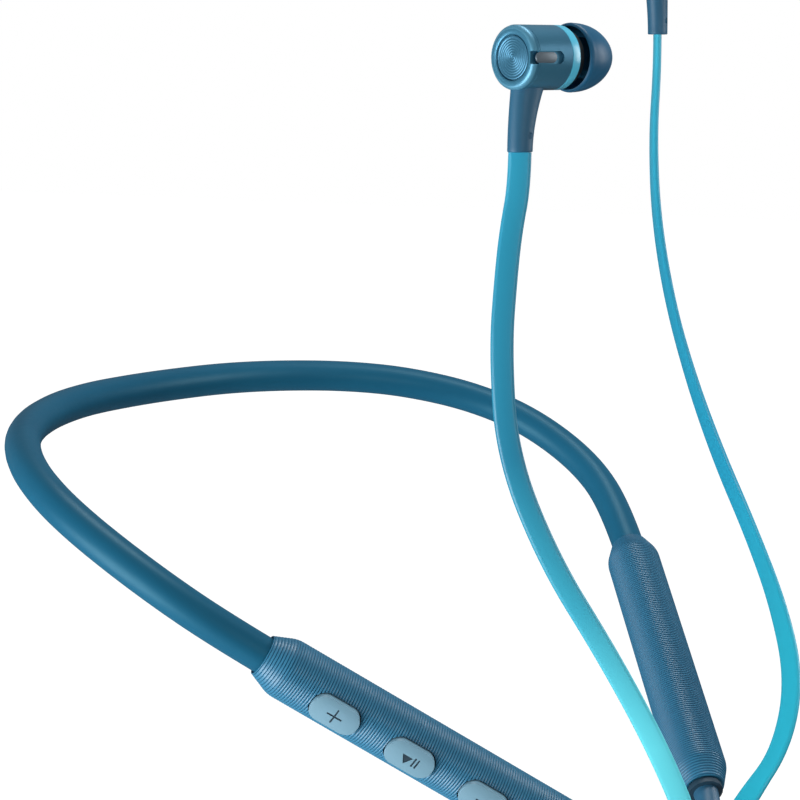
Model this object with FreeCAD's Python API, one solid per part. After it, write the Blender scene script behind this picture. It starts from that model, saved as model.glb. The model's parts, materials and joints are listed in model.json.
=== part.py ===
import FreeCAD, Part
import math
import os

# Neckband earphones as they hang when worn, in millimetres.
# +Z is up, +Y is forward from the nape, +X is the wearer's right, where the button pod is.
# The origin is the centre of the band's round section at the middle of the nape.

Vec = FreeCAD.Vector

# band: a silicone sleeve round a wiring loom and a springy core wire
sleeve_r = 3.3
loom_r = 1.8
core_r = 0.6
band_gap = 0.1            # radial gap between the layers
band_half = [             # corners of the right half of the band's line, nape to pod
    (6.5, 0.0, 0.0), (22.0, 2.0, 0.0), (36.5, 6.4, -0.5), (50.3, 13.3, -1.5), (61.3, 21.8, -3.3),
    (70.4, 33.5, -6.8), (75.0, 46.6, -12.2), (73.8, 62.3, -21.0)]
neck_run = 7.5            # the sleeve's straight run before the pod

# pods: where each starts, which way it points and how it is turned about its own axis
pod_start = Vec(62.1, 78.3, -34.4)
pod_toe_in = 44.7         # degrees, towards the middle
pod_droop = 32.4          # degrees, downwards
button_tilt = -21.6       # degrees, the buttons face outwards and a little down
pod_length = 68.0
pod_r = 5.45
pod_wall = 1.0
pod_neck_r = 3.75         # outer radius at the sleeve end of the taper
pod_mouth_r = 3.9         # outer radius at the cable end of the taper
taper = 5.2
shoulder = 1.9            # how far the taper's round shoulder reaches along the pod
sleeve_bore = 3.42
sleeve_seat = 7.5         # how deep the sleeve goes into the pod
hull_in = 7.0             # how far the sleeve's bore is cut into the pod
bush_z = (6.2, 8.0)
cover_angle = 110.0       # the cover's share of the pod's wall, in degrees
cover_z = (6.0, 63.0)
button_cover_turn = 180.0   # where a cover's middle is, round the pod from its local +X
battery_cover_turn = -50.0

# buttons and what they press
button_first = 15.2
button_pitch = 15.4
button_long, button_wide, button_corner = 9.2, 5.2, 2.3
button_gap = 0.22
button_proud = 0.65
button_travel = 0.4
flange_x = (2.6, 3.2)     # the flange that keeps a button in, across the pod
switch_half, switch_top = (1.6, 1.9), 1.85
plunger_r, plunger_top = 0.8, 2.15

# electronics inside the pods
board_half = 0.4
board_y, board_z = 3.9, (8.0, 52.5)
module_x, module_y, module_z = -1.6, 3.0, (20.0, 32.0)
mic_x, mic_y, mic_z = -1.5, 0.95, (10.6, 13.4)
mic_hole_r, mic_hole_z = 0.5, 12.0
port_z, port_long, port_thick, port_wall = 57.8, 9.0, 3.3, 0.3
port_x, port_back, port_corner = (-5.2, 0.9), -0.6, 1.5
port_gap = 0.1
tongue_x, tongue_half = (-4.6, -0.6), (0.35, 3.2)
light_z, light_r, light_hole_r, light_foot = 57.5, 0.55, 0.6, 1.6
cell_r, cell_z = 3.9, (14.0, 54.0)
cell_tip_r, cell_tip = 1.6, 0.8
wrap_r, wrap_bore, wrap_z = 4.3, 3.95, (18.0, 50.0)
guard_y, guard_z = 3.2, (56.2, 63.0)
guard_chip_x, guard_chip_y, guard_chip_z = 1.2, 1.3, (58.0, 61.0)

# cable ends of the pods
ring_r, ring_length = 3.35, 1.2
relief_r, relief_end = 2.4, (2.35, 1.25)
relief_length = 6.8
cable_d = 2.4             # a round stand-in for the 4.0 by 1.3 flat cable

# earbuds, measured along their own axis from the back face towards the ear
bud_r = 5.55
bud_wall = 0.8
cap_depth = 1.5
recess_r, recess_depth = 3.85, 0.55
shell_z = (1.5, 9.3)
ring_z = (9.3, 11.2)
front_z = (11.2, 12.9)
front_r = 4.8
nozzle_r, nozzle_bore, nozzle_z = 2.8, 2.1, 18.0
slot_z = (1.5, 7.1)
slot_wide, slot_depth = 2.2, 0.45
tip_r, tip_z = 5.95, (13.4, 21.2)
tip_bore = 2.87
bud_turn = 13.0           # degrees that each earbud's axis is turned forward of straight across
right_bud = Vec(29.5, 107.5, 67.0)
left_bud = Vec(-73.5, 77.6, 88.0)
stem_drop = 16.0          # from the earbud's axis to the stem's lower end
stem_low, stem_low_z = (2.2, 2.0), 2.1
stem_high, stem_high_z = (3.3, 2.4), 4.0
stem_top = 3.5            # from the earbud's axis to where the stem's loft ends inside the shell
cap_bevel = 0.75
inlay_half, inlay_gap = 0.85, (0.3, 1.5)
driver_z, magnet_r, magnet_top = (6.6, 10.6), 3.0, 3.0
mesh_z = (17.5, 17.8)

# free cables, from the stem to the pod
right_route = [
    (27.5, 108.0, 51.0), (27.7, 108.0, 45.0), (29.0, 107.3, 38.0), (30.5, 107.3, 30.5),
    (32.5, 107.5, 17.5), (32.5, 109.0, -1.0), (28.0, 115.0, -19.5), (21.0, 122.0, -35.5),
    (14.0, 127.0, -50.5), (9.0, 130.5, -63.0), (6.3, 132.0, -71.0), (7.5, 132.0, -76.5),
    (11.0, 129.8, -79.0)]
left_route = [
    (-71.5, 78.0, 72.0), (-71.3, 78.2, 65.0), (-68.5, 79.0, 51.5), (-64.0, 82.5, 35.0),
    (-58.0, 89.5, 18.0), (-51.5, 98.5, 3.0), (-44.0, 109.0, -10.5), (-36.5, 120.0, -22.5),
    (-29.5, 130.0, -35.0), (-22.0, 137.5, -47.0), (-13.5, 139.5, -58.0), (-6.5, 136.5, -66.0),
    (-3.5, 134.0, -72.0), (-5.0, 131.5, -76.5), (-9.0, 129.5, -79.0)]
last_run = 4.2            # from the cable's last corner to the strain relief's end


# ---------- lines and simple solids ----------

def rounded_path(corners):
    """Straight runs joined by tangent arcs, each as large as its two runs allow."""
    edges, start = [], corners[0]
    for before, corner, after in zip(corners, corners[1:], corners[2:]):
        one, two = before - corner, after - corner
        run = min(one.Length, two.Length)
        one.normalize()
        two.normalize()
        half_turn = (math.pi - one.getAngle(two)) / 2
        reach = 0.45 * run
        radius = reach / math.tan(half_turn)
        first, last = corner + one * reach, corner + two * reach
        middle = corner + (one + two).normalize() * radius * (1 / math.cos(half_turn) - 1)
        edges.append(Part.LineSegment(start, first).toShape())
        edges.append(Part.Arc(first, middle, last).toShape())
        start = last
    edges.append(Part.LineSegment(start, corners[-1]).toShape())
    return Part.Wire(edges)


def tube(path, radius, bore=0.0):
    """A round tube along a path."""
    at = path.Edges[0].Vertexes[0].Point
    along = path.Edges[0].tangentAt(path.Edges[0].FirstParameter)
    solid = path.makePipeShell([Part.Wire(Part.makeCircle(radius, at, along))], True, False)
    if bore:
        solid = solid.cut(path.makePipeShell([Part.Wire(Part.makeCircle(bore, at, along))], True, False))
    return solid


def disc(radius, low, high, bore=0.0):
    """A disc or ring round the Z axis, from low to high."""
    solid = Part.makeCylinder(radius, high - low, Vec(0, 0, low))
    if bore:
        solid = solid.cut(Part.makeCylinder(bore, high - low, Vec(0, 0, low)))
    return solid


def turned(profile):
    """A solid of revolution about Z; a profile item is a point (r, z) or an arc's (middle, end)."""
    edges, at = [], Vec(profile[0][0], 0, profile[0][1])
    for item in profile[1:] + [profile[0]]:
        if isinstance(item[0], tuple):
            middle, end = [Vec(r, 0, z) for r, z in item]
            edges.append(Part.Arc(at, middle, end).toShape())
        else:
            end = Vec(item[0], 0, item[1])
            if (end - at).Length > 1e-6:
                edges.append(Part.LineSegment(at, end).toShape())
        at = end
    return Part.Face(Part.Wire(edges)).revolve(Vec(0, 0, 0), Vec(0, 0, 1), 360)


def box(x, y, z):
    """A box from low and high values along each axis."""
    return Part.makeBox(x[1] - x[0], y[1] - y[0], z[1] - z[0], Vec(x[0], y[0], z[0]))


def pill(x, z, length, width, corner):
    """A pad with round corners, its face towards +X and its long side along Z."""
    block = box(x, (-width / 2, width / 2), (z - length / 2, z + length / 2))
    upright = [e for e in block.Edges if abs(e.tangentAt(e.FirstParameter).x) > 0.99]
    return block.makeFillet(corner, upright)


def ellipse(across, along, centre, x_axis, z_axis):
    """A closed oval wire."""
    wire = Part.Wire(Part.Ellipse(Vec(0, 0, 0), across, along).toShape())
    wire.Placement = FreeCAD.Placement(centre, FreeCAD.Rotation(x_axis, Vec(0, 0, 0), z_axis, "ZXY"))
    return wire


def placed(solid, origin, x_axis, z_axis):
    """A copy of a solid moved from its own frame into the row's."""
    copy = solid.copy()
    copy.Placement = FreeCAD.Placement(origin, FreeCAD.Rotation(x_axis, Vec(0, 0, 0), z_axis, "ZXY"))
    return copy


def mirrored(vector):
    """The same vector on the wearer's other side."""
    return Vec(-vector.x, vector.y, vector.z)


# ---------- frames of the pods and the earbuds ----------

toe, droop, tilt = [math.radians(a) for a in (pod_toe_in, pod_droop, button_tilt)]
pod_axis = Vec(-math.sin(toe) * math.cos(droop), math.cos(toe) * math.cos(droop), -math.sin(droop))
pod_side = Vec(math.cos(toe), math.sin(toe), 0)
button_axis = pod_side * math.cos(tilt) + pod_side.cross(pod_axis) * math.sin(tilt)
bud_axis = Vec(-math.cos(math.radians(bud_turn)), math.sin(math.radians(bud_turn)), 0)
down = Vec(0, 0, -1)


# ---------- band ----------

def band():
    """Sleeve, wiring loom and core wire, one inside the other along the band's line."""
    half = [Vec(*p) for p in band_half]
    half += [pod_start - pod_axis * neck_run, pod_start + pod_axis * sleeve_seat]
    corners = [mirrored(p) for p in reversed(half)] + half
    path = rounded_path(corners)
    sleeve = tube(path, sleeve_r, loom_r + band_gap)
    loom = tube(path, loom_r, core_r + band_gap)
    core = tube(path, core_r)
    return {"band_sleeve": sleeve, "wiring_loom": loom, "memory_wire": core}


# ---------- pods ----------

def pod_hull(inset=0.0):
    """The pod's outer shape, or its cavity when inset by the wall."""
    full, end = pod_r - inset, pod_length - inset * 1.5
    low, neck = inset * 2.6, pod_neck_r - inset * 0.2
    mouth = pod_mouth_r - inset * 0.75
    return turned([
        (0, low), (neck, low), (full - 0.35, taper - shoulder + inset),
        ((full - 0.08, taper - shoulder / 2 + inset), (full, taper + inset)),
        (full, pod_length - taper - inset),
        ((full - 0.08, pod_length - taper + shoulder / 2 - inset),
         (full - 0.35, pod_length - taper + shoulder - inset)),
        (mouth, end), (0, end)])


def cover_wedge(turn):
    """The sector of the wall that the cover takes, its middle at an angle round the pod."""
    low, high = cover_z
    far = pod_r * 3
    sides = [math.radians(turn + half) for half in (-cover_angle / 2, cover_angle / 2)]
    corners = [Vec(0, 0, low)] + [Vec(far * math.cos(a), far * math.sin(a), low) for a in sides]
    return Part.Face(Part.makePolygon(corners + corners[:1])).extrude(Vec(0, 0, high - low))


def pod_case(turn, openings=(), cover_openings=()):
    """A pod's main shell and its cover."""
    wall = pod_hull().cut(pod_hull(pod_wall))
    wall = wall.cut(disc(sleeve_bore, -1, hull_in)).cut(disc(relief_r + 0.1, pod_length - 6, pod_length + 1))
    wedge = cover_wedge(turn)
    shell, cover = wall.cut(wedge), wall.common(wedge)
    for cut in openings:
        shell = shell.cut(cut)
    for cut in cover_openings:
        cover = cover.cut(cut)
    return shell, cover


def pod_fittings():
    """The bush that grips the sleeve, the ring at the mouth and the cable's strain relief."""
    bush = disc(pod_r - pod_wall - 0.15, bush_z[0], bush_z[1], sleeve_bore)
    mouth = pod_length
    ring = disc(ring_r, mouth, mouth + ring_length, relief_r)
    top, bottom = mouth - 3.0, mouth + ring_length + relief_length
    body = disc(relief_r, top, mouth + ring_length)
    x_axis, z_axis = Vec(1, 0, 0), Vec(0, 0, 1)
    circle = Part.Wire(Part.makeCircle(relief_r, Vec(0, 0, mouth + ring_length)))
    oval = ellipse(relief_end[0], relief_end[1], Vec(0, 0, bottom), x_axis, z_axis)
    relief = body.fuse(Part.makeLoft([circle, oval], True)).removeSplitter()
    return bush, ring, relief


def button_place(i):
    return button_first + i * button_pitch


def button(i):
    """A raised pad with a shallow crown, a dished symbol field and a flange underneath."""
    z = button_place(i)
    top = pod_r + button_proud
    pad = pill((flange_x[1], top), z, button_long, button_wide, button_corner)
    crown = Part.makeCylinder(top, button_long + 4, Vec(0, 0, z - button_long / 2 - 2))
    pad = pad.common(crown)
    rim = [e for e in pad.Edges if e.BoundBox.XMin > pod_r - 0.4]
    pad = pad.makeFillet(0.25, rim)
    flange = pill(flange_x, z, button_long + 1.0, button_wide + 0.4, button_corner)
    return pad.fuse(flange)


def switch(i):
    """A small tact switch on the board, with its plunger towards the button."""
    z = button_place(i)
    half_y, half_z = switch_half
    base = box((board_half, switch_top), (-half_y, half_y), (z - half_z, z + half_z))
    plunger = Part.makeCylinder(plunger_r, plunger_top - switch_top, Vec(switch_top, 0, z), Vec(1, 0, 0))
    return base.fuse(plunger)


def button_pod():
    """Every piece of the button pod, in the pod's own frame."""
    gap = button_gap * 2
    holes = [pill((1, 9), button_place(i), button_long + gap, button_wide + gap, button_corner + button_gap)
             for i in range(3)]
    light = Part.makeCylinder(light_hole_r, 9, Vec(0, 0, light_z), Vec(1, 0, 0))
    half_y, half_z = port_thick / 2 + port_gap, port_long / 2 + port_gap
    port_hole = box((-9, -3), (-half_y, half_y), (port_z - half_z, port_z + half_z))
    mic_hole = Part.makeCylinder(mic_hole_r, 9, Vec(-9, 0, mic_hole_z), Vec(1, 0, 0))
    shell, cover = pod_case(button_cover_turn, holes + [light], [port_hole, mic_hole])
    bush, ring, relief = pod_fittings()
    pieces = {"button_pod_shell": shell, "button_pod_cover": cover, "button_pod_bush": bush,
              "button_pod_ring": ring, "button_pod_strain_relief": relief}
    for i, name in enumerate(("volume_up", "play", "volume_down")):
        pieces[name + "_button"] = button(i)
        pieces[name + "_switch"] = switch(i)
    pieces["circuit_board"] = box((-board_half, board_half), (-board_y, board_y), board_z)
    pieces["bluetooth_module"] = box((module_x, -board_half), (-module_y, module_y), module_z)
    pieces["microphone"] = box((mic_x, -board_half), (-mic_y, mic_y), mic_z)
    port = pill(port_x, port_z, port_long, port_thick, port_corner)
    port = port.cut(pill((-6, port_back), port_z, port_long - port_wall * 2, port_thick - port_wall * 2,
                         port_corner - port_wall))
    half_y, half_z = tongue_half
    tongue = box(tongue_x, (-half_y, half_y), (port_z - half_z, port_z + half_z))
    pieces["usb_port"] = port.fuse(tongue)
    pieces["status_light"] = Part.makeCylinder(
        light_r, pod_r - light_foot, Vec(light_foot, 0, light_z), Vec(1, 0, 0))
    return pieces


def battery_pod():
    """Every piece of the battery pod, in the pod's own frame."""
    shell, cover = pod_case(battery_cover_turn)
    bush, ring, relief = pod_fittings()
    cell = disc(cell_r, *cell_z).fuse(disc(cell_tip_r, cell_z[1], cell_z[1] + cell_tip))
    wrap = disc(wrap_r, wrap_z[0], wrap_z[1], wrap_bore)
    board = box((-board_half, board_half), (-guard_y, guard_y), guard_z)
    chip = box((board_half, guard_chip_x), (-guard_chip_y, guard_chip_y), guard_chip_z)
    return {"battery_pod_shell": shell, "battery_pod_cover": cover, "battery_pod_bush": bush,
            "battery_pod_ring": ring, "battery_pod_strain_relief": relief, "battery_cell": cell,
            "battery_foam_wrap": wrap, "battery_guard_board": board.fuse(chip)}


# ---------- earbuds ----------

def ear_tip():
    """A soft mushroom tip: a dome over a core that grips the nozzle."""
    low, high = tip_z
    core_low, core_r_out = low + 0.6, 3.5
    return turned([
        (tip_bore, core_low), (tip_bore, high - 0.2), ((tip_bore + 0.1, high), (tip_bore + 0.35, high)),
        ((5.05, high - 2.6), (tip_r, low + 0.9)), ((tip_r - 0.15, low + 0.2), (tip_r - 0.45, low)),
        ((5.0, high - 4.0), (core_r_out, high - 1.8)), (core_r_out, core_low)])


def stem():
    """The tapered stem under an earbud, its top shaped to the round shell."""
    z_axis, x_axis = Vec(1, 0, 0), Vec(0, 0, 1)
    low = ellipse(stem_low[0], stem_low[1], Vec(stem_drop, 0, stem_low_z), x_axis, z_axis)
    high = ellipse(stem_high[0], stem_high[1], Vec(stem_top, 0, stem_high_z), x_axis, z_axis)
    loft = Part.makeLoft([low, high], True, True)
    return loft.cut(disc(bud_r, -1, 12))


def earbud(side):
    """Every piece of one earbud; side is +1 where the slot is on +Y of its own frame."""
    cap = turned([(0, recess_depth), (recess_r, recess_depth), (recess_r, 0.25), (recess_r + 0.25, 0),
                  (bud_r - cap_bevel, 0), (bud_r, cap_bevel), (bud_r, cap_depth), (0, cap_depth)])
    notch = box((-slot_wide / 2, slot_wide / 2), tuple(sorted((side * 4.5, side * 9))), (-1, cap_depth + 1))
    cap = cap.cut(notch)
    disc_plate = disc(recess_r - 0.15, 0.15, recess_depth)
    shell = disc(bud_r, shell_z[0], shell_z[1], bud_r - bud_wall)
    slot = box((-slot_wide / 2, slot_wide / 2),
               tuple(sorted((side * (bud_r - slot_depth), side * 9))), (0, slot_z[1]))
    shell = shell.cut(slot)
    inlay_y = tuple(sorted((side * (bud_r - slot_depth), side * (bud_r - 0.12))))
    inlay = box((-inlay_half, inlay_half), inlay_y, (slot_z[0] + inlay_gap[0], slot_z[1] - inlay_gap[1]))
    ring = disc(bud_r, ring_z[0], ring_z[1], bud_r - bud_wall)
    front = turned([(nozzle_bore, front_z[0]), (front_r, front_z[0]), (front_r, front_z[1] - 0.3),
                    (front_r - 0.3, front_z[1]), (nozzle_r, front_z[1]), (nozzle_r, nozzle_z - 0.3),
                    (nozzle_r - 0.3, nozzle_z), (nozzle_bore, nozzle_z)])
    mesh = disc(nozzle_bore, *mesh_z)
    driver = disc(bud_r - bud_wall - 0.1, *driver_z)
    magnet = disc(magnet_r, cap_depth, magnet_top)
    return {"cap": cap, "disc": disc_plate, "shell": shell, "slot_inlay": inlay, "ring": ring,
            "nozzle": front, "nozzle_mesh": mesh, "driver": driver, "magnet": magnet,
            "stem": stem(), "tip": ear_tip()}


# ---------- everything, in the row's frame ----------

def all_nodes():
    nodes = dict(band())
    for name, solid in button_pod().items():
        nodes[name] = placed(solid, pod_start, button_axis, pod_axis)
    for name, solid in battery_pod().items():
        nodes[name] = placed(solid, mirrored(pod_start), mirrored(button_axis), mirrored(pod_axis))
    for word, at, axis, side in (("right", right_bud, bud_axis, -1),
                                 ("left", left_bud, mirrored(bud_axis), 1)):
        for name, solid in earbud(side).items():
            nodes[word + "_earbud_" + name] = placed(solid, at, down, axis)
    relief_tip = pod_start + pod_axis * (pod_length + ring_length + relief_length)
    for name, route, tip, axis in (("right_cable", right_route, relief_tip, pod_axis),
                                   ("left_cable", left_route, mirrored(relief_tip), mirrored(pod_axis))):
        corners = [Vec(*p) for p in route] + [tip + axis * last_run, tip]
        path = rounded_path(corners)
        nodes[name] = tube(path, cable_d / 2)
        print(name, "length", round(path.Length, 1))
    return nodes


os.makedirs("parts", exist_ok=True)
for node, shape in all_nodes().items():
    if not shape.isValid() or shape.Volume <= 0:
        print("check", node, shape.isValid(), shape.Volume)
    shape.exportStep(f"parts/{node}.step")
    print(node, len(shape.Solids), "solid", round(shape.Volume, 1), "mm3")
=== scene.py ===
import bmesh
import bpy
import json
import math
from mathutils import Matrix, Vector


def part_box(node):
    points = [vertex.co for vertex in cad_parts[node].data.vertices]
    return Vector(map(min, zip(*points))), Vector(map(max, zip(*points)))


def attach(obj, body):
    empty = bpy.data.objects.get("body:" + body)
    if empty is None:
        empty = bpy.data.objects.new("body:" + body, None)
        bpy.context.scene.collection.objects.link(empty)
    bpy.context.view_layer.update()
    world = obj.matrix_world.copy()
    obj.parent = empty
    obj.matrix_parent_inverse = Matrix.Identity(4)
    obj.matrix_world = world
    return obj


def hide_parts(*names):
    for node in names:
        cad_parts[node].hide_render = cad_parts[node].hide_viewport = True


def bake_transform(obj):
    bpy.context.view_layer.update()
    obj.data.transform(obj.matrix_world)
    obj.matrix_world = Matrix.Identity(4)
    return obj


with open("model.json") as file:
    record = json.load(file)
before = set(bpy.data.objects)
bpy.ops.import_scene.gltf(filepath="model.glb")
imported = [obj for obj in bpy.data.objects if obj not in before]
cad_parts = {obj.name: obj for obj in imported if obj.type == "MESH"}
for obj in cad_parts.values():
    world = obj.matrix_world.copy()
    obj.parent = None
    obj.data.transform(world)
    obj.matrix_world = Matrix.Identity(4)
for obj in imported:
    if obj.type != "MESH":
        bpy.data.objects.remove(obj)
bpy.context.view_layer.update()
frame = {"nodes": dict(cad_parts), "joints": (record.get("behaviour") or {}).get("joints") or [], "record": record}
nodes = frame["nodes"]
mounts = {m["name"]: m for m in frame["record"]["mounts"]}
joints = {j["name"]: j for j in frame["joints"]}
mm = 0.001
bpy.ops.object.select_all(action="DESELECT")


# the places of the pods and the earbuds, from the CAD nodes

podShape = {
    "length": 68.0, "radius": 5.45, "neck": 3.75, "mouth": 3.9, "taper": 5.2, "shoulder": 1.9,
    "shoulderDrop": 0.35, "portAlong": 57.8, "portOut": 5.2, "reliefTip": 76.0,
}
budLength = 21.2


def mirrored(v):
    return Vector((-v[0], v[1], v[2]))


def placeOf(origin, xAxis, zAxis):
    # a piece's own frame, carried to its place on the object
    yAxis = zAxis.cross(xAxis)
    place = Matrix((xAxis, yAxis, zAxis)).transposed().to_4x4()
    place.translation = origin
    return place


down = Vector((0, 0, -1))
buttonAxis = -Vector(joints["volume_up_press"]["axis"]).normalized()
podAxis = (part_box("volume_down_button")[0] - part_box("volume_up_button")[0]).normalized()
podStart = (Vector(mounts["usb_port_mouth"]["pos_m"]) + buttonAxis * podShape["portOut"] * mm
            - podAxis * podShape["portAlong"] * mm)
podPlaces = {"button": placeOf(podStart, buttonAxis, podAxis),
             "battery": placeOf(mirrored(podStart), mirrored(buttonAxis), mirrored(podAxis))}
budPlaces = {}
for side in ("right", "left"):
    canal = mounts[side + "_ear_canal"]
    budAxis = Vector(canal["axis"]).normalized()
    budStart = Vector(canal["pos_m"]) - budAxis * budLength * mm
    budPlaces[side] = placeOf(budStart, down, budAxis)
armOf = {"right": "button_arm", "left": "battery_arm"}


# finishes

grainHeight = 0.02

def newMaterial(name, roughness, specular=0.5, metallic=0.0, coat=0.0, sheen=0.0):
    material = bpy.data.materials.new(name)
    material.use_nodes = True
    shader = material.node_tree.nodes["Principled BSDF"]
    shader.inputs["Roughness"].default_value = roughness
    shader.inputs["Specular IOR Level"].default_value = specular
    shader.inputs["Metallic"].default_value = metallic
    shader.inputs["Coat Weight"].default_value = coat
    shader.inputs["Coat Roughness"].default_value = 0.25
    shader.inputs["Sheen Weight"].default_value = sheen
    return material, shader


def fineGrain(tree, shader, grain, detail, bump):
    # fine noise that raises the surface a little
    place = tree.nodes.new("ShaderNodeTexCoord")
    fine = tree.nodes.new("ShaderNodeTexNoise")
    fine.inputs["Scale"].default_value = grain
    fine.inputs["Detail"].default_value = detail
    tree.links.new(place.outputs["Object"], fine.inputs["Vector"])
    relief = tree.nodes.new("ShaderNodeBump")
    relief.inputs["Strength"].default_value = bump
    relief.inputs["Distance"].default_value = grainHeight * mm
    tree.links.new(fine.outputs["Fac"], relief.inputs["Height"])
    tree.links.new(relief.outputs["Normal"], shader.inputs["Normal"])
    return place, fine


def mottled(name, dark, light, roughness, grain=900, patch=60, bump=0.15, spread=0.05, **more):
    # a base colour that drifts a little, fine grain in the gloss, and a fine surface bump
    material, shader = newMaterial(name, roughness, **more)
    tree = material.node_tree
    place, fine = fineGrain(tree, shader, grain, 4, bump)
    broad = tree.nodes.new("ShaderNodeTexNoise")
    broad.inputs["Scale"].default_value = patch
    broad.inputs["Detail"].default_value = 3
    tree.links.new(place.outputs["Object"], broad.inputs["Vector"])
    ramp = tree.nodes.new("ShaderNodeValToRGB")
    ramp.color_ramp.elements[0].position = 0.3
    ramp.color_ramp.elements[1].position = 0.7
    ramp.color_ramp.elements[0].color = (*dark, 1)
    ramp.color_ramp.elements[1].color = (*light, 1)
    tree.links.new(broad.outputs["Fac"], ramp.inputs["Fac"])
    tree.links.new(ramp.outputs["Color"], shader.inputs["Base Color"])
    gloss = tree.nodes.new("ShaderNodeMapRange")
    gloss.inputs["To Min"].default_value = max(0.02, roughness - spread)
    gloss.inputs["To Max"].default_value = roughness + spread
    tree.links.new(fine.outputs["Fac"], gloss.inputs["Value"])
    tree.links.new(gloss.outputs["Result"], shader.inputs["Roughness"])
    return material


def cableJacket(name, colours):
    # the colour runs from the earbud to the pod along the piece's own UV map
    material, shader = newMaterial(name, 0.38, specular=0.4)
    tree = material.node_tree
    along = tree.nodes.new("ShaderNodeUVMap")
    along.uv_map = "along"
    split = tree.nodes.new("ShaderNodeSeparateXYZ")
    tree.links.new(along.outputs["UV"], split.inputs["Vector"])
    ramp = tree.nodes.new("ShaderNodeValToRGB")
    ramp.color_ramp.elements[0].color = (*colours[0][1], 1)
    ramp.color_ramp.elements[1].color = (*colours[-1][1], 1)
    for position, colour in colours[1:-1]:
        ramp.color_ramp.elements.new(position).color = (*colour, 1)
    tree.links.new(split.outputs["X"], ramp.inputs["Fac"])
    tree.links.new(ramp.outputs["Color"], shader.inputs["Base Color"])
    fineGrain(tree, shader, 1400, 3, 0.05)
    return material


materials = {
    "sleeve_silicone": mottled("sleeveSilicone", (0.008, 0.09, 0.168), (0.010, 0.104, 0.188), 0.42,
                               patch=35, specular=0.22),
    "loom_jacket": mottled("loomJacket", (0.02, 0.02, 0.025), (0.04, 0.04, 0.045), 0.7, grain=3000, bump=0.5),
    "spring_wire": mottled("springWire", (0.45, 0.45, 0.47), (0.6, 0.6, 0.62), 0.3, metallic=1.0),
    "pod_plastic": mottled("podPlastic", (0.025, 0.168, 0.30), (0.029, 0.184, 0.32), 0.4,
                           grain=3000, patch=40, bump=0.05, spread=0.03),
    # a darker, duller copy of the pod plastic: painted shade on one side of each rib groove; the stem's side mark
    # is also made darker with it
    "groove_shade_and_dark_mark": mottled("grooveShadeAndDarkMark", (0.011, 0.088, 0.17), (0.013, 0.098, 0.185), 0.5,
                          grain=3000, patch=40, bump=0.05, specular=0.25),
    "inner_plastic": mottled("innerPlastic", (0.05, 0.05, 0.055), (0.07, 0.07, 0.075), 0.6),
    "dark_rubber": mottled("darkRubber", (0.005, 0.03, 0.055), (0.008, 0.04, 0.07), 0.6),
    "relief_rubber": mottled("reliefRubber", (0.016, 0.09, 0.17), (0.02, 0.11, 0.2), 0.45),
    "button_plastic": mottled("buttonPlastic", (0.17, 0.33, 0.43), (0.185, 0.35, 0.46), 0.4, specular=0.5),
    "symbol_paint": mottled("symbolPaint", (0.008, 0.03, 0.05), (0.012, 0.04, 0.065), 0.6),
    "switch_metal": mottled("switchMetal", (0.5, 0.5, 0.5), (0.65, 0.65, 0.66), 0.35, metallic=1.0),
    "board_green": mottled("boardGreen", (0.01, 0.09, 0.04), (0.02, 0.13, 0.06), 0.4, coat=0.4),
    "chip_black": mottled("chipBlack", (0.015, 0.015, 0.015), (0.03, 0.03, 0.03), 0.5),
    "port_steel": mottled("portSteel", (0.5, 0.5, 0.52), (0.62, 0.62, 0.64), 0.28, metallic=1.0),
    "light_pipe": mottled("lightPipe", (0.7, 0.75, 0.8), (0.8, 0.85, 0.9), 0.3),
    "cell_wrap": mottled("cellWrap", (0.03, 0.08, 0.25), (0.04, 0.1, 0.3), 0.35, coat=0.3),
    "foam": mottled("foam", (0.02, 0.02, 0.02), (0.05, 0.05, 0.05), 0.9, grain=2500, bump=0.8),
    "cable_jacket": cableJacket("rightJacket", [
        (0.0, (0.022, 0.32, 0.49)), (0.35, (0.014, 0.215, 0.355)), (0.55, (0.045, 0.42, 0.58)),
        (0.75, (0.15, 0.82, 0.95)), (1.0, (0.15, 0.82, 0.95))]),
    "left_jacket": cableJacket("leftJacket", [
        (0.0, (0.035, 0.43, 0.60)), (0.25, (0.018, 0.32, 0.50)), (0.5, (0.012, 0.31, 0.50)),
        (0.7, (0.017, 0.43, 0.59)), (1.0, (0.022, 0.52, 0.70))]),
    "bud_metal": mottled("budMetal", (0.045, 0.19, 0.31), (0.05, 0.21, 0.33), 0.36, patch=80,
                         metallic=0.5, bump=0.06, spread=0.03),
    "bud_rim": mottled("budRim", (0.08, 0.27, 0.40), (0.09, 0.29, 0.43), 0.42, metallic=0.35,
                       bump=0.05, spread=0.03),
    "bud_disc": mottled("budDisc", (0.04, 0.165, 0.27), (0.045, 0.18, 0.29), 0.36, metallic=0.5,
                        bump=0.03, spread=0.02),
    "inlay_metal": mottled("inlayMetal", (0.10, 0.135, 0.165), (0.12, 0.16, 0.19), 0.5, metallic=0.3,
                           bump=0.05, spread=0.03),
    "bud_ring": mottled("budRing", (0.08, 0.52, 0.74), (0.09, 0.55, 0.78), 0.35, coat=0.2, bump=0.05),
    "nozzle_black": mottled("nozzleBlack", (0.006, 0.007, 0.01), (0.01, 0.012, 0.016), 0.5),
    "mesh_steel": mottled("meshSteel", (0.2, 0.2, 0.21), (0.5, 0.5, 0.52), 0.4,
                          grain=4000, bump=0.9, metallic=1.0),
    "driver_black": mottled("driverBlack", (0.015, 0.015, 0.015), (0.03, 0.03, 0.03), 0.5),
    "magnet_nickel": mottled("magnetNickel", (0.6, 0.6, 0.6), (0.72, 0.72, 0.73), 0.2, metallic=1.0),
    "stem_plastic": mottled("stemPlastic", (0.018, 0.10, 0.185), (0.022, 0.115, 0.205), 0.5, patch=80,
                            specular=0.35),
    "tip_silicone": mottled("tipSilicone", (0.012, 0.10, 0.20), (0.015, 0.112, 0.22), 0.42,
                            patch=80, specular=0.25),
}
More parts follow.
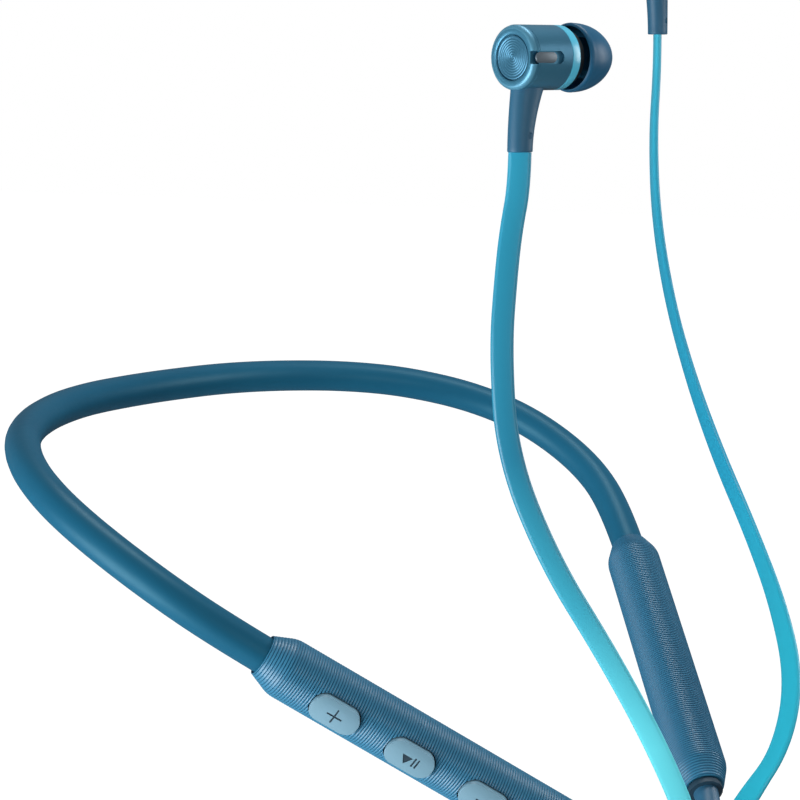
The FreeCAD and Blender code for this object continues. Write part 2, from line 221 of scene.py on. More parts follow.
tinted = materials["sleeve_silicone"].node_tree.nodes["Principled BSDF"]
tinted.inputs["Specular Tint"].default_value = (0.45, 0.9, 1.0, 1)
slotOf = {s["node"]: s["material_slot"] for s in frame["record"]["subparts"]}
for nodeName, nodeObject in nodes.items():
    nodeObject.data.materials.clear()
    nodeObject.data.materials.append(materials[slotOf[nodeName]])
print("materials done:", len(materials))


# camera, floor and light

camera = {"at": (0.40551, 0.35103, 0.06569), "pitch": -8.733, "turn": 125.088,
          "lens": 117.316, "shift": (-0.01526, 0.0822)}
studio = {"floorHeight": -0.42, "floorSize": 14, "floorGrey": 0.3, "fill": 0.2, "white": 1.0}
lamps = {  # name: (point it looks at, direction it comes from, distance, size, power)
    "leftBox": ((0.0, 0.08, -0.01), (0.836, -0.325, -0.43), 0.7, (0.6, 0.7), 12.0),
    "topBox": ((0.0, 0.08, -0.01), (-0.2, 0.02, 0.98), 0.75, (0.5, 0.25), 4.0),
    "rightBox": ((0.02, 0.13, 0.07), (-0.81, 0.575, 0.145), 0.36, (0.1, 0.2), 0.6),
    "frontBox": ((0.0, 0.08, -0.01), (0.35, 0.95, 0.1), 0.8, (0.12, 0.3), 1.2),
}


def whiteForCamera(material, strength):
    # the stage looks plain white, and still gives the object only a soft fill
    tree = material.node_tree
    path = tree.nodes.new("ShaderNodeLightPath")
    scale = tree.nodes.new("ShaderNodeMath")
    scale.operation = "MULTIPLY"
    scale.inputs[1].default_value = strength
    tree.links.new(path.outputs["Is Camera Ray"], scale.inputs[0])
    return scale.outputs[0]


def makeStudio():
    bpy.context.scene.view_settings.view_transform = "Standard"
    bpy.ops.mesh.primitive_plane_add(size=studio["floorSize"], location=(0, 0, studio["floorHeight"]))
    floor = bpy.context.object
    floor.name = "floor"
    paint, shader = newMaterial("floorPaint", 0.9, specular=0.1)
    shader.inputs["Base Color"].default_value = (*[studio["floorGrey"]] * 3, 1)
    shader.inputs["Emission Color"].default_value = (1, 1, 1, 1)
    paint.node_tree.links.new(whiteForCamera(paint, studio["white"]), shader.inputs["Emission Strength"])
    floor.data.materials.append(paint)
    world = bpy.data.worlds.new("studioWorld")
    world.use_nodes = True
    sky = world.node_tree.nodes["Background"]
    sky.inputs["Color"].default_value = (1, 1, 1, 1)
    add = world.node_tree.nodes.new("ShaderNodeMath")
    add.inputs[1].default_value = studio["fill"]
    world.node_tree.links.new(whiteForCamera(world, studio["white"] - studio["fill"]), add.inputs[0])
    world.node_tree.links.new(add.outputs[0], sky.inputs["Strength"])
    bpy.context.scene.world = world
    for name, (aim, way, distance, size, power) in lamps.items():
        aim = Vector(aim)
        position = aim + Vector(way).normalized() * distance
        bpy.ops.object.light_add(type="AREA", location=position)
        lamp = bpy.context.object
        lamp.name = name
        lamp.data.shape = "RECTANGLE"
        lamp.data.size, lamp.data.size_y = size
        lamp.data.energy = power
        lamp.rotation_euler = (aim - position).to_track_quat("-Z", "Y").to_euler()
    bpy.ops.object.camera_add(location=camera["at"])
    eye = bpy.context.object
    eye.name = "eye"
    eye.rotation_euler = (math.radians(90 + camera["pitch"]), 0, math.radians(camera["turn"]))
    eye.data.lens = camera["lens"]
    eye.data.sensor_width = 36
    eye.data.shift_x, eye.data.shift_y = camera["shift"]
    eye.data.clip_start = 0.01
    bpy.context.scene.camera = eye


makeStudio()
print("studio done")


# pieces are shaped in millimetres about their own Z axis, then settled in place

def splineCurve(name, route, resolution):
    curve = bpy.data.curves.new(name, "CURVE")
    curve.dimensions = "3D"
    curve.resolution_u = resolution
    spline = curve.splines.new("NURBS")
    spline.points.add(len(route) - 1)
    for point, corner in zip(spline.points, route):
        point.co = (*corner, 1)
    spline.order_u = 3
    spline.use_endpoint_u = True
    holder = bpy.data.objects.new(name, curve)
    bpy.context.scene.collection.objects.link(holder)
    return holder


def startRing(name, radius, height=0.0, corners=96):
    bpy.ops.object.select_all(action="DESELECT")
    bpy.ops.mesh.primitive_circle_add(vertices=corners, radius=radius, fill_type="NOTHING",
                                      location=(0, 0, height))
    piece = bpy.context.object
    piece.name = name
    piece.data.name = name
    bpy.ops.object.transform_apply(location=True, rotation=False, scale=False)
    return piece


def editMode(on=True):
    bpy.ops.object.mode_set(mode="EDIT" if on else "OBJECT")


def only(piece):
    bpy.ops.object.select_all(action="DESELECT")
    piece.select_set(True)
    bpy.context.view_layer.objects.active = piece


def selectVerts(test):
    mesh = bmesh.from_edit_mesh(bpy.context.object.data)
    mesh.select_mode = {"VERT"}
    for vert in mesh.verts:
        vert.select = test(vert.co)
    mesh.select_flush_mode()
    bmesh.update_edit_mesh(bpy.context.object.data)


def selectFaces(test):
    mesh = bmesh.from_edit_mesh(bpy.context.object.data)
    for face in mesh.faces:
        face.select_set(False)
    for face in mesh.faces:
        if test(face):
            face.select_set(True)
    bmesh.update_edit_mesh(bpy.context.object.data)


def scaleRound(factor):
    bpy.ops.transform.resize(value=(factor, factor, 1), center_override=(0, 0, 0))


def smooth(piece, degrees=35):
    only(piece)
    bpy.ops.object.shade_smooth_by_angle(angle=math.radians(degrees))


def applyModifier(piece, kind, **values):
    only(piece)
    modifier = piece.modifiers.new(kind.lower(), kind)
    for key, value in values.items():
        setattr(modifier, key, value)
    bpy.ops.object.modifier_apply(modifier=modifier.name)


def outwards(piece):
    only(piece)
    editMode()
    bpy.ops.mesh.select_all(action="SELECT")
    bpy.ops.mesh.remove_doubles(threshold=1e-4)
    bpy.ops.mesh.normals_make_consistent(inside=False)
    editMode(False)


poleRadius = 1e-3


def turned(name, profile, corners=96):
    # a ring is pushed along Z and resized for each (radius, height); radius 0 closes a pole
    (radius, height), rest = profile[0], profile[1:]
    startRadius = max(radius, poleRadius)
    piece = startRing(name, startRadius, height, corners)
    editMode()
    bpy.ops.mesh.select_all(action="SELECT")
    for nextRadius, nextHeight in rest:
        pushed = max(nextRadius, poleRadius)
        bpy.ops.mesh.extrude_edges_move(TRANSFORM_OT_translate={"value": (0, 0, nextHeight - height)})
        scaleRound(pushed / startRadius)
        startRadius, height = pushed, nextHeight
    bpy.ops.mesh.select_all(action="SELECT")
    bpy.ops.mesh.remove_doubles(threshold=5e-3)
    editMode(False)
    outwards(piece)
    return piece


def arc(a, b, c, steps):
    # points on the circle through three (radius, height) points, without the first
    (ax, ay), (bx, by), (cx, cy) = a, b, c
    d = 2 * (ax * (by - cy) + bx * (cy - ay) + cx * (ay - by))
    ux = ((ax**2 + ay**2) * (by - cy) + (bx**2 + by**2) * (cy - ay) + (cx**2 + cy**2) * (ay - by)) / d
    uy = ((ax**2 + ay**2) * (cx - bx) + (bx**2 + by**2) * (ax - cx) + (cx**2 + cy**2) * (bx - ax)) / d
    radius = math.hypot(ax - ux, ay - uy)
    first, middle, last = [math.atan2(y - uy, x - ux) for x, y in (a, b, c)]
    turn = (last - first) % (2 * math.pi)
    if (middle - first) % (2 * math.pi) > turn:
        turn -= 2 * math.pi
    angles = [first + turn * (i + 1) / steps for i in range(steps)]
    return [(ux + radius * math.cos(t), uy + radius * math.sin(t)) for t in angles]


def cutPill(name, height, length, width, corner, low, high):
    # a bar with round corners that stands along X, its long side along Z
    bpy.ops.object.select_all(action="DESELECT")
    bpy.ops.mesh.primitive_cube_add(size=1, location=((low + high) / 2, 0, height),
                                    scale=(high - low, width, length))
    piece = bpy.context.object
    piece.name = name
    bpy.ops.object.transform_apply(location=True, rotation=False, scale=True)
    editMode()
    bpy.ops.mesh.select_all(action="DESELECT")
    bpy.ops.mesh.select_mode(type="EDGE")
    mesh = bmesh.from_edit_mesh(piece.data)
    for edge in mesh.edges:
        edge.select_set(abs((edge.verts[0].co - edge.verts[1].co).normalized().x) > 0.99)
    bmesh.update_edit_mesh(piece.data)
    bpy.ops.mesh.bevel(offset=corner, segments=10, affect="EDGES")
    bpy.ops.mesh.select_mode(type="VERT")
    editMode(False)
    return piece


def rod(radius, length, at, corners=96, turn=(0, 0, 0)):
    # a plain cylinder that cuts or trims another piece
    bpy.ops.object.select_all(action="DESELECT")
    bpy.ops.mesh.primitive_cylinder_add(vertices=corners, radius=radius, depth=length,
                                        location=at, rotation=turn)
    bpy.ops.object.transform_apply(location=True, rotation=True, scale=False)
    return bpy.context.object


def trim(piece, limit):
    applyModifier(piece, "BOOLEAN", object=limit, operation="INTERSECT", solver="EXACT")
    bpy.data.objects.remove(limit)


def softenEdges(piece, width, steps, degrees=50):
    applyModifier(piece, "BEVEL", width=width, segments=steps, limit_method="ANGLE",
                  angle_limit=math.radians(degrees))


def joined(pieces):
    only(pieces[0])
    for piece in pieces:
        piece.select_set(True)
    bpy.ops.object.join()
    return bpy.context.object


def cut(piece, cutter, keepFinish=False):
    applyModifier(piece, "BOOLEAN", object=cutter, operation="DIFFERENCE", solver="EXACT",
                  material_mode="TRANSFER" if keepFinish else "INDEX")
    bpy.data.objects.remove(cutter)


def copied(piece, name):
    copy = piece.copy()
    copy.data = piece.data.copy()
    copy.name = name
    copy.data.name = name
    bpy.context.scene.collection.objects.link(copy)
    return copy


def settle(piece, place, body, slotName, *replaced):
    # the shaped piece goes to its place, in metres, and rides on its body
    only(piece)
    piece.data.transform(place @ Matrix.Scale(mm, 4))
    piece.data.update()
    if not piece.data.materials:
        piece.data.materials.append(materials[slotName])
    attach(piece, body)
    if replaced:
        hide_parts(*replaced)
    piece.select_set(False)


# the neckband: sleeve, wiring loom and spring wire

band = {"sleeve": 3.3, "sleeveBore": 1.9, "loom": 1.8, "loomBore": 0.7, "wire": 0.6,
        "seat": 7.5, "neckRun": 7.5,
        "bendFrom": (15.0, 1.0, 0.0), "bendTo": (58.0, 19.0, -3.0)}
bandHalf = [
    (6.5, 0.0, 0.0), (22.0, 2.0, 0.0), (36.5, 6.4, -0.5), (50.3, 13.3, -1.5), (61.3, 21.8, -3.3),
    (70.4, 33.5, -6.8), (75.0, 46.6, -12.2), (73.8, 62.3, -21.0)]


def bandTube(name, radius, bore):
    # one layer of the band, made as a bevelled curve and parted at the nape
    half = [Vector(p) for p in bandHalf]
    half += [podStart / mm - podAxis * band["neckRun"], podStart / mm + podAxis * band["seat"]]
    route = [mirrored(p) for p in reversed(half)] + half
    curve = splineCurve(name, route, 10)
    curve.data.bevel_depth = radius
    curve.data.bevel_resolution = 12
    only(curve)
    bpy.ops.object.convert(target="MESH")
    whole = bpy.context.object
    for side, body in ((1, "button_arm"), (-1, "battery_arm")):
        part = copied(whole, name + ("Right" if side > 0 else "Left"))
        only(part)
        editMode()
        bpy.ops.mesh.select_all(action="SELECT")
        bpy.ops.mesh.bisect(plane_co=(0, 0, 0), plane_no=(side, 0, 0), clear_inner=True, use_fill=False)
        bpy.ops.mesh.select_all(action="SELECT")
        if not bore:
            bpy.ops.mesh.select_all(action="DESELECT")
            bpy.ops.mesh.select_non_manifold()
            bpy.ops.mesh.fill_holes(sides=0)
            bpy.ops.mesh.select_all(action="SELECT")
        bpy.ops.mesh.normals_make_consistent(inside=False)
        editMode(False)
        if bore:
            applyModifier(part, "SOLIDIFY", thickness=radius - bore, offset=-1)
        smooth(part, 50)
        yield part, body, side
    bpy.data.objects.remove(whole)


def makeBand():
    for name, radius, bore, slotName, node in (
            ("sleeve", band["sleeve"], band["sleeveBore"], "sleeve_silicone", "band_sleeve"),
            ("loom", band["loom"], band["loomBore"], "loom_jacket", "wiring_loom"),
            ("wire", band["wire"], 0, "spring_wire", "memory_wire")):
        for part, body, side in bandTube(name, radius, bore):
            only(part)
            part.data.transform(Matrix.Scale(mm, 4))
            part.data.materials.append(materials[slotName])
            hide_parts(node)
            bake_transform(part)


# the pods: ribbed shell, cover and buttons

ribs = {"count": 132, "perRib": 3, "depth": 0.13, "corners": 96, "wall": 1.0, "seam": 0.12,
        "coverHalf": 55.0, "coverFrom": 6.0, "coverTo": 63.0, "sleeveBore": 3.42, "boreTo": 2.5,
        "coverTurn": {"button": 180.0, "battery": -50.0}}
buttons = {"first": 15.2, "pitch": 15.4, "long": 9.2, "wide": 5.2, "corner": 2.3, "gap": 0.22,
           "top": 6.1, "crown": 9.0, "edge": 0.32, "foot": 3.2, "flange": 2.6, "engrave": 0.14,
           "mark": 3.0, "stroke": 0.32, "names": ("volume_up", "play", "volume_down")}
ports = {"port": 57.8, "portLong": 9.2, "portWide": 3.5, "portCorner": 1.7, "mic": 12.0, "micRadius": 0.5,
         "light": 57.5, "lightRadius": 0.6}


def podRadius(height):
    # the outline of the pod: a cone with a round shoulder at each end
    full, taper, shoulder = podShape["radius"], podShape["taper"], podShape["shoulder"]
    drop = podShape["shoulderDrop"]
    fromEnd, edge = height, podShape["neck"]
    if height > podShape["length"] / 2:
        fromEnd, edge = podShape["length"] - height, podShape["mouth"]
    if fromEnd >= taper:
        return full
    if fromEnd > taper - shoulder:
        t = (taper - fromEnd) / shoulder
        return full - drop * t * t
    return edge + (full - drop - edge) * fromEnd / (taper - shoulder)


def makeHull(pod):
    steps = ribs["count"] * ribs["perRib"]
    pitch = podShape["length"] / steps
    hull = startRing(pod + "Hull", podShape["radius"], 0.0, ribs["corners"])
    editMode()
    bpy.ops.mesh.select_all(action="SELECT")
    bpy.ops.mesh.extrude_repeat(steps=steps, offset=(0, 0, pitch))
    for i in range(steps + 1):
        height = i * pitch
        if podRadius(height) < podShape["radius"]:
            selectVerts(lambda co: abs(co.z - height) < pitch / 4)
            scaleRound(podRadius(height) / podShape["radius"])
    bpy.ops.mesh.select_all(action="SELECT")
    bpy.ops.mesh.normals_make_consistent(inside=False)
    bpy.ops.mesh.select_mode(type="FACE")
    turn = math.radians(ribs["coverTurn"][pod])
    coverWay = Vector((math.cos(turn), math.sin(turn)))

    def onCover(face):
        middle = face.calc_center_median()
        away = math.degrees(middle.xy.angle(coverWay))
        return ribs["coverFrom"] < middle.z < ribs["coverTo"] and away < ribs["coverHalf"]

    selectFaces(onCover)
    bpy.ops.mesh.separate(type="SELECTED")
    bpy.ops.mesh.select_mode(type="VERT")
    editMode(False)
    cover = [o for o in bpy.context.selected_objects if o is not hull][0]
    hull.name, cover.name = pod + "PodShell", pod + "PodCover"
    for piece in (hull, cover):
        applyModifier(piece, "SOLIDIFY", thickness=ribs["wall"], offset=-1)
        softenEdges(piece, ribs["seam"], 1, 60)
        editMode()

        def inGroove(co):
            step = round(co.z / pitch)
            outer = math.hypot(co.x, co.y) > podRadius(co.z) - ribs["wall"] / 2
            return outer and step % ribs["perRib"] == 2 and abs(co.z - step * pitch) < pitch / 8

        selectVerts(inGroove)
        scaleRound(1 - ribs["depth"] / podShape["radius"])
        for i in range(int(ribs["boreTo"] / pitch)):
            height = i * pitch
            bore = podRadius(height) - ribs["wall"]
            if bore < ribs["sleeveBore"]:
                selectVerts(lambda co: abs(co.z - height) < pitch / 2
                            and math.hypot(co.x, co.y) < podRadius(height) - ribs["wall"] / 2)
                scaleRound(ribs["sleeveBore"] / bore)
        editMode(False)
        smooth(piece, 32)
        # painted shade: one side of each groove is darker, a darker copy of the pod plastic standing in for the
        # shade in the groove
        for finish in ("pod_plastic", "groove_shade_and_dark_mark"):
            piece.data.materials.append(materials[finish])
        for face in piece.data.polygons:
            outer = face.center.xy.length > podRadius(face.center.z) - ribs["wall"] / 2
            dark = int(face.center.z / pitch) % ribs["perRib"] == 1
            face.material_index = 1 if outer and dark else 0
    return hull, cover


def makePods():
    for pod in ("button", "battery"):
        shell, cover = makeHull(pod)
        if pod == "button":
            cutPodHoles(shell, cover)
        settle(shell, podPlaces[pod], pod + "_arm", "pod_plastic", pod + "_pod_shell")
        settle(cover, podPlaces[pod], pod + "_arm", "pod_plastic", pod + "_pod_cover")


def cutPodHoles(shell, cover):
    gap, acrossX = buttons["gap"], (0, math.pi / 2, 0)
    holes = [cutPill("hole", buttons["first"] + i * buttons["pitch"], buttons["long"] + gap * 2,
                     buttons["wide"] + gap * 2, buttons["corner"] + gap, 1, 9) for i in range(3)]
    holes.append(rod(ports["lightRadius"], 8, (5, 0, ports["light"]), 32, acrossX))
    cut(shell, joined(holes))
    port = cutPill("portHole", ports["port"], ports["portLong"], ports["portWide"],
                   ports["portCorner"], -9, -3)
    cut(cover, joined([port, rod(ports["micRadius"], 6, (-6, 0, ports["mic"]), 32, acrossX)]))


def bar(y, z, wide, high):
    piece = cutPill("mark", z, high, wide, min(wide, high) * 0.3,
                    buttons["top"] - buttons["engrave"], buttons["top"] + 1)
    piece.data.transform(Matrix.Translation((0, y, 0)))
    return piece


def symbolPieces(name, z):
    # plus, play and pause, minus
    size, stroke = buttons["mark"], buttons["stroke"]
    if name == "volume_up":
        return [bar(0, z, size, stroke), bar(0, z, stroke, size)]
    if name == "volume_down":
        return [bar(0, z, stroke, size)]
    engrave = buttons["engrave"]
    middle = (buttons["top"] + (1 - engrave) / 2, 0, z - size * 0.2)
    triangle = rod(size * 0.4, 1 + engrave, middle, 3, (0, math.pi / 2, 0))
    return [triangle] + [bar(0, z + size * far, size * 0.65, stroke) for far in (0.3, 0.52)]


def makeButtons():
    for i, name in enumerate(buttons["names"]):
        z = buttons["first"] + i * buttons["pitch"]
        pad = cutPill(name + "Button", z, buttons["long"], buttons["wide"], buttons["corner"],
                      buttons["foot"], buttons["top"] + 0.5)
        crown = buttons["crown"]
        trim(pad, rod(crown, buttons["long"] + 4, (buttons["top"] - crown, 0, z), 256))
        softenEdges(pad, buttons["edge"], 4)
        pad.data.materials.append(materials["button_plastic"])
        for mark in symbolPieces(name, z):
            mark.data.materials.append(materials["symbol_paint"])
            cut(pad, mark, keepFinish=True)
        flange = cutPill("flange", z, buttons["long"] + 1, buttons["wide"] + 0.4, buttons["corner"],
                         buttons["flange"], buttons["foot"] + 0.02)
        flange.data.materials.append(materials["button_plastic"])
        pad = joined([pad, flange])
        smooth(pad, 30)
        settle(pad, podPlaces["button"], name + "_button", "button_plastic", name + "_button")


# the earbuds

bud = {"radius": 5.55, "wall": 0.8, "cap": 1.5, "rim": 0.75, "recess": 3.85, "recessDepth": 0.55,
       "discRipples": 8, "ripple": 0.04, "shellTo": 9.3, "ringTo": 11.2, "frontTo": 12.9, "front": 4.8,
       "nozzle": 2.8, "bore": 2.1, "nozzleTo": 18.0, "slotTo": 7.1, "slotWide": 2.2, "slotDepth": 0.45,
       "inlay": (1.8, 5.5), "inlayWide": 1.8, "inlaySunk": 0.14,
       "tip": 5.95, "tipFrom": 13.4, "tipTo": budLength, "tipBore": 2.87, "tipCore": 3.5}
stem = {"drop": 16.0, "low": (2.35, 2.0), "lowAt": 2.1, "high": (3.55, 2.4), "highAt": 4.25, "steps": 14,
        "startsAt": 3.5, "curve": 1.8, "edge": 0.18,
        "markUp": 2.8, "markOff": 0.5, "markRadius": 0.6, "markDepth": 0.12}


def slotCutter(side, depthTo, wide, low, high):
    radius = wide / 2
    bpy.ops.object.select_all(action="DESELECT")
    block = cutPill("slot", (low + high) / 2, high - low, wide, radius * 0.98, depthTo, 9)
    block.data.transform(Matrix.Rotation(side * math.pi / 2, 4, "Z"))
    return block


def tipProfile():
    top, low, r = bud["tipTo"], bud["tipFrom"], bud["tip"]
    bore, core = bud["tipBore"], bud["tipCore"]
    outline = [(bore, low + 0.6), (bore, top - 0.35)]
    outline += arc(outline[-1], (bore + 0.12, top - 0.08), (bore + 0.45, top), 4)
    outline += arc(outline[-1], (5.05, top - 2.6), (r, low + 0.9), 18)
    outline += arc(outline[-1], (r - 0.12, low + 0.22), (r - 0.45, low), 5)
    outline += arc(outline[-1], (r - 0.6, low + 0.25), (r - 0.62, low + 0.9), 4)
    outline += arc(outline[-1], (5.0, top - 4.0), (core, top - 1.8), 10)
    outline += [(core, low + 0.6), (bore, low + 0.6)]
    return outline


def discProfile():
    edge, face = bud["recess"] - 0.15, 0.15
    outline = [(0, bud["recessDepth"]), (edge, bud["recessDepth"]), (edge, face + 0.05), (edge - 0.08, face)]
    steps = bud["discRipples"] * 4
    for i in range(steps + 1):
        r = (edge - 0.3) * (1 - i / steps)
        outline.append((r, face + bud["ripple"] * (1 - math.cos(math.pi * i / 2))))
    return outline


def makeStem(word, side):
    piece = startRing(word + "EarbudStem", 1.0, 0.0, 64)
    editMode()
    bpy.ops.mesh.select_all(action="SELECT")
    total = stem["drop"] - stem["startsAt"]
    low, high, lean = stem["low"], stem["high"], stem["highAt"] - stem["lowAt"]
    rise, before = total / stem["steps"], 0.0
    across, along = low
    bpy.ops.transform.resize(value=(across, along, 1), center_override=(0, 0, 0))
    for i in range(1, stem["steps"] + 1):
        swell = (i / stem["steps"]) ** stem["curve"]
        nextAcross = low[0] + (high[0] - low[0]) * swell
        nextAlong = low[1] + (high[1] - low[1]) * swell
        slide, middle, before = lean * (swell - before), lean * swell, swell
        bpy.ops.mesh.extrude_edges_move(TRANSFORM_OT_translate={"value": (slide, 0, rise)})
        bpy.ops.transform.resize(value=(nextAcross / across, nextAlong / along, 1),
                                 center_override=(middle, 0, 0))
        across, along = nextAcross, nextAlong
    bpy.ops.mesh.select_all(action="DESELECT")
    bpy.ops.mesh.select_non_manifold()
    bpy.ops.mesh.fill_holes(sides=0)
    editMode(False)
    outwards(piece)
    softenEdges(piece, stem["edge"], 3)
    # from upright into the earbud's frame, where down is +X and the bud's axis is +Z
    piece.data.transform(Matrix(((0, 0, -1, stem["drop"]), (0, 1, 0, 0),
                                 (1, 0, 0, stem["lowAt"]), (0, 0, 0, 1))))
    cut(piece, rod(bud["radius"] - 0.15, 20, (0, 0, 5)))
    # a plain round side mark near the low end
    markAt = (stem["drop"] - stem["markUp"], side * (low[1] + 0.5 - stem["markDepth"]),
              stem["lowAt"] + stem["markOff"])
    mark = rod(stem["markRadius"], 1, markAt, 48, (math.pi / 2, 0, 0))
    mark.data.materials.append(materials["groove_shade_and_dark_mark"])
    piece.data.materials.append(materials["stem_plastic"])
    cut(piece, mark, keepFinish=True)
    return piece


def makeCap(word, side):
    r, rim, cap = bud["radius"], bud["rim"], bud["cap"]
    rec, depth = bud["recess"], bud["recessDepth"]
    piece = turned(word + "EarbudCap", [
        (0, depth), (rec, depth), (rec, 0.2), (rec + 0.12, 0.05), (rec + 0.25, 0), (r - rim, 0),
        (r - rim * 0.55, 0.09), (r - rim * 0.15, 0.42), (r, rim), (r, cap - 0.06), (r - 0.06, cap), (0, cap)])
    cut(piece, slotCutter(side, 4.5, bud["slotWide"], -1, cap + 1.2))
    # the bevel is brighter than the rest
    for finish in ("bud_metal", "bud_rim"):
        piece.data.materials.append(materials[finish])
    for face in piece.data.polygons:
        middle, normal = face.center, face.normal
        onBevel = middle.z < rim and middle.xy.length > r - rim and abs(normal.z) < 0.995
        face.material_index = 1 if onBevel and normal.xy.dot(middle.xy) > 0.1 else 0
    return piece


def makeShell(word, side):
    r, wall, cap, end = bud["radius"], bud["wall"], bud["cap"], bud["shellTo"]
    piece = turned(word + "EarbudShell", [
        (r - wall, cap), (r - 0.06, cap), (r, cap + 0.06), (r, end - 0.06),
        (r - 0.06, end), (r - wall, end), (r - wall, cap)], corners=128)
    cut(piece, slotCutter(side, r - bud["slotDepth"], bud["slotWide"], 0.0, bud["slotTo"]))
    return piece


def makeInlay(word, side):
    low, high = bud["inlay"]
    piece = slotCutter(side, bud["radius"] - bud["slotDepth"] + 0.005, bud["inlayWide"], low - 1.2, high)
    piece.name = word + "EarbudInlay"
    trim(piece, rod(bud["radius"] - bud["inlaySunk"], 30, (0, 0, 5), 128))
    softenEdges(piece, 0.06, 2)
    return piece


def makeRing(word):
    r, wall, start, end = bud["radius"], bud["wall"], bud["shellTo"], bud["ringTo"]
    return turned(word + "EarbudRing", [
        (r - wall, start), (r - 0.08, start), (r, start + 0.08), (r, end - 0.25), (r - 0.08, end - 0.08),
        (r - 0.28, end), (r - wall, end), (r - wall, start)])


def makeNozzle(word):
    front, nozzle, bore, start = bud["front"], bud["nozzle"], bud["bore"], bud["ringTo"]
    top, tall = bud["frontTo"], bud["nozzleTo"]
    return turned(word + "EarbudNozzle", [
        (bore, start), (front, start), (front, top - 0.35), (front - 0.1, top - 0.1),
        (front - 0.35, top), (nozzle + 0.2, top), (nozzle, top + 0.2), (nozzle, tall - 0.9),
        (nozzle + 0.05, tall - 0.6), (nozzle, tall - 0.25), (nozzle - 0.25, tall), (bore, tall),
        (bore, start)])


def makeBuds():
    for word, side in (("right", -1), ("left", 1)):
        place, body, node = budPlaces[word], armOf[word], word + "_earbud_"
        for piece, degrees, slotName, ending, rider in (
                (makeCap(word, side), 40, "bud_rim", "cap", body),
                (turned(word + "EarbudDisc", discProfile()), 50, "bud_disc", "disc", body),
                (makeShell(word, side), 30, "bud_metal", "shell", body),
                (makeInlay(word, side), 30, "inlay_metal", "slot_inlay", body),
                (makeRing(word), 30, "bud_ring", "ring", body),
                (makeNozzle(word), 40, "nozzle_black", "nozzle", body),
                (turned(word + "EarTip", tipProfile()), 60, "tip_silicone", "tip", word + "_ear_tip"),
                (makeStem(word, side), 35, "stem_plastic", "stem", body)):
            smooth(piece, degrees)
            settle(piece, place, rider, slotName, node + ending)


makeBand()
print("band done")
makePods()
print("pods done")
makeButtons()
print("buttons done")
makeBuds()
print("earbuds done")


# the flat cables

cable = {"width": 4.0, "thick": 1.3, "lastRun": 4.2, "edgeSteps": 6}
rightRoute = [
    (27.5, 108.0, 51.0), (27.7, 108.0, 45.0), (29.0, 107.3, 38.0), (30.5, 107.3, 30.5),
    (32.5, 107.5, 17.5), (32.5, 109.0, -1.0), (28.0, 115.0, -19.5), (21.0, 122.0, -35.5),
    (14.0, 127.0, -50.5), (9.0, 130.5, -63.0), (6.3, 132.0, -71.0), (7.5, 132.0, -76.5),
    (11.0, 129.8, -79.0)]
leftRoute = [
    (-71.5, 78.0, 72.0), (-71.3, 78.2, 65.0), (-68.5, 79.0, 51.5), (-64.0, 82.5, 35.0),
    (-58.0, 89.5, 18.0), (-51.5, 98.5, 3.0), (-44.0, 109.0, -10.5), (-36.5, 120.0, -22.5),
    (-29.5, 130.0, -35.0), (-22.0, 137.5, -47.0), (-13.5, 139.5, -58.0), (-6.5, 136.5, -66.0),
    (-3.5, 134.0, -72.0), (-5.0, 131.5, -76.5), (-9.0, 129.5, -79.0)]
# which way the ribbon's width lies, at shares of its length counted from the earbud
rightLay = [(0.0, (-0.57, 0.82, 0.0)), (0.7, (-0.57, 0.78, 0.25)), (0.8, (-0.60, 0.72, 0.35)),
            (1.0, -buttonAxis)]
leftLay = [(0.0, (0.77, 0.63, 0.0)), (0.3, (0.66, 0.72, 0.2)), (0.55, (0.42, 0.78, 0.45)),
           (0.8, (-0.20, 0.80, 0.50)), (1.0, mirrored(buttonAxis))]


def splinePoints(name, route):
    # the smooth line through a route's corners, read back as points
    holder = splineCurve(name, route, 12)
    bpy.context.view_layer.update()
    mesh = bpy.data.meshes.new_from_object(holder)
    points = [v.co.copy() for v in mesh.vertices]
    bpy.data.objects.remove(holder)
    bpy.data.meshes.remove(mesh)
    return points


def layAt(share, lay):
    for (low, one), (high, two) in zip(lay, lay[1:]):
        if share <= high:
            t = (share - low) / (high - low)
            t = t * t * (3 - 2 * t)
            return Vector(one).lerp(Vector(two), t)
    return Vector(lay[-1][1])


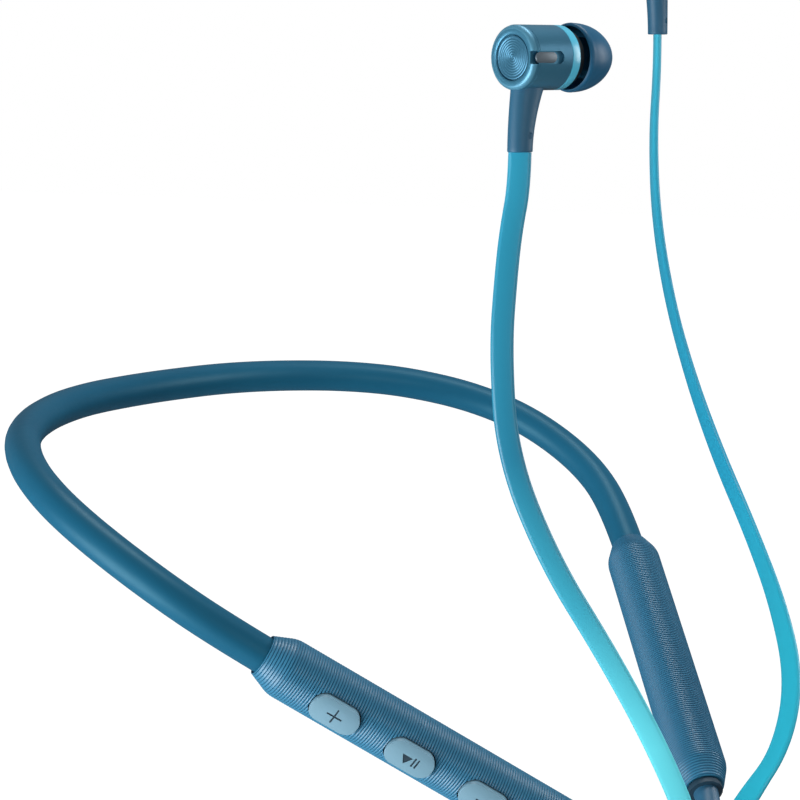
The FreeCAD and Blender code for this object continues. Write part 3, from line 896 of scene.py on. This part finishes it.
def ribbonSection():
    # a flat section with fully round edges, as (across, through)
    half, r = cable["width"] / 2 - cable["thick"] / 2, cable["thick"] / 2
    section = []
    for middle, start in ((half, -90), (-half, 90)):
        for i in range(cable["edgeSteps"] + 1):
            a = math.radians(start + 180 * i / cable["edgeSteps"])
            section.append((middle + r * math.cos(a), r * math.sin(a)))
    return section


def makeCable(name, side, route, lay):
    points = splinePoints(name + "Line", route)
    section = ribbonSection()
    lengths = [0.0]
    for one, two in zip(points, points[1:]):
        lengths.append(lengths[-1] + (two - one).length)
    total = lengths[-1]
    verts, faces, n = [], [], len(section)
    for i, p in enumerate(points):
        ahead, behind = points[min(i + 1, len(points) - 1)], points[max(i - 1, 0)]
        along = (ahead - behind).normalized()
        across = layAt(lengths[i] / total, lay)
        across = (across - along * across.dot(along)).normalized()
        through = along.cross(across)
        verts += [p + (across * a + through * t) * mm for a, t in section]
    for i in range(len(points) - 1):
        for j in range(n):
            k = (j + 1) % n
            faces.append((i * n + j, i * n + k, (i + 1) * n + k, (i + 1) * n + j))
    faces.append(tuple(range(n))[::-1])
    faces.append(tuple(range((len(points) - 1) * n, len(points) * n)))
    mesh = bpy.data.meshes.new(name)
    mesh.from_pydata(verts, [], faces)
    uv = mesh.uv_layers.new(name="along")
    for loop in mesh.loops:
        ring, corner = divmod(loop.vertex_index, n)
        uv.data[loop.index].uv = (lengths[ring] / total, corner / n)
    piece = bpy.data.objects.new(name, mesh)
    bpy.context.scene.collection.objects.link(piece)
    only(piece)
    editMode()
    bpy.ops.mesh.select_all(action="SELECT")
    bpy.ops.mesh.normals_make_consistent(inside=False)
    editMode(False)
    smooth(piece, 50)
    piece.select_set(False)
    piece.data.materials.append(materials["cable_jacket" if side == "right" else "left_jacket"])
    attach(piece, armOf[side])
    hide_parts(side + "_cable")
    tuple(points[-1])
    print(name, "length", round(total, 4))


reliefTip = {pod: place @ Vector((0, 0, podShape["reliefTip"] * mm)) for pod, place in podPlaces.items()}
for name, side, pod, route, lay in (("rightCable", "right", "button", rightRoute, rightLay),
                                    ("leftCable", "left", "battery", leftRoute, leftLay)):
    line = [Vector(p) * mm for p in route]
    podWay = podPlaces[pod].col[2].to_3d()
    line += [reliefTip[pod] + podWay * cable["lastRun"] * mm, reliefTip[pod]]
    makeCable(name, side, line, lay)
print("cables done")
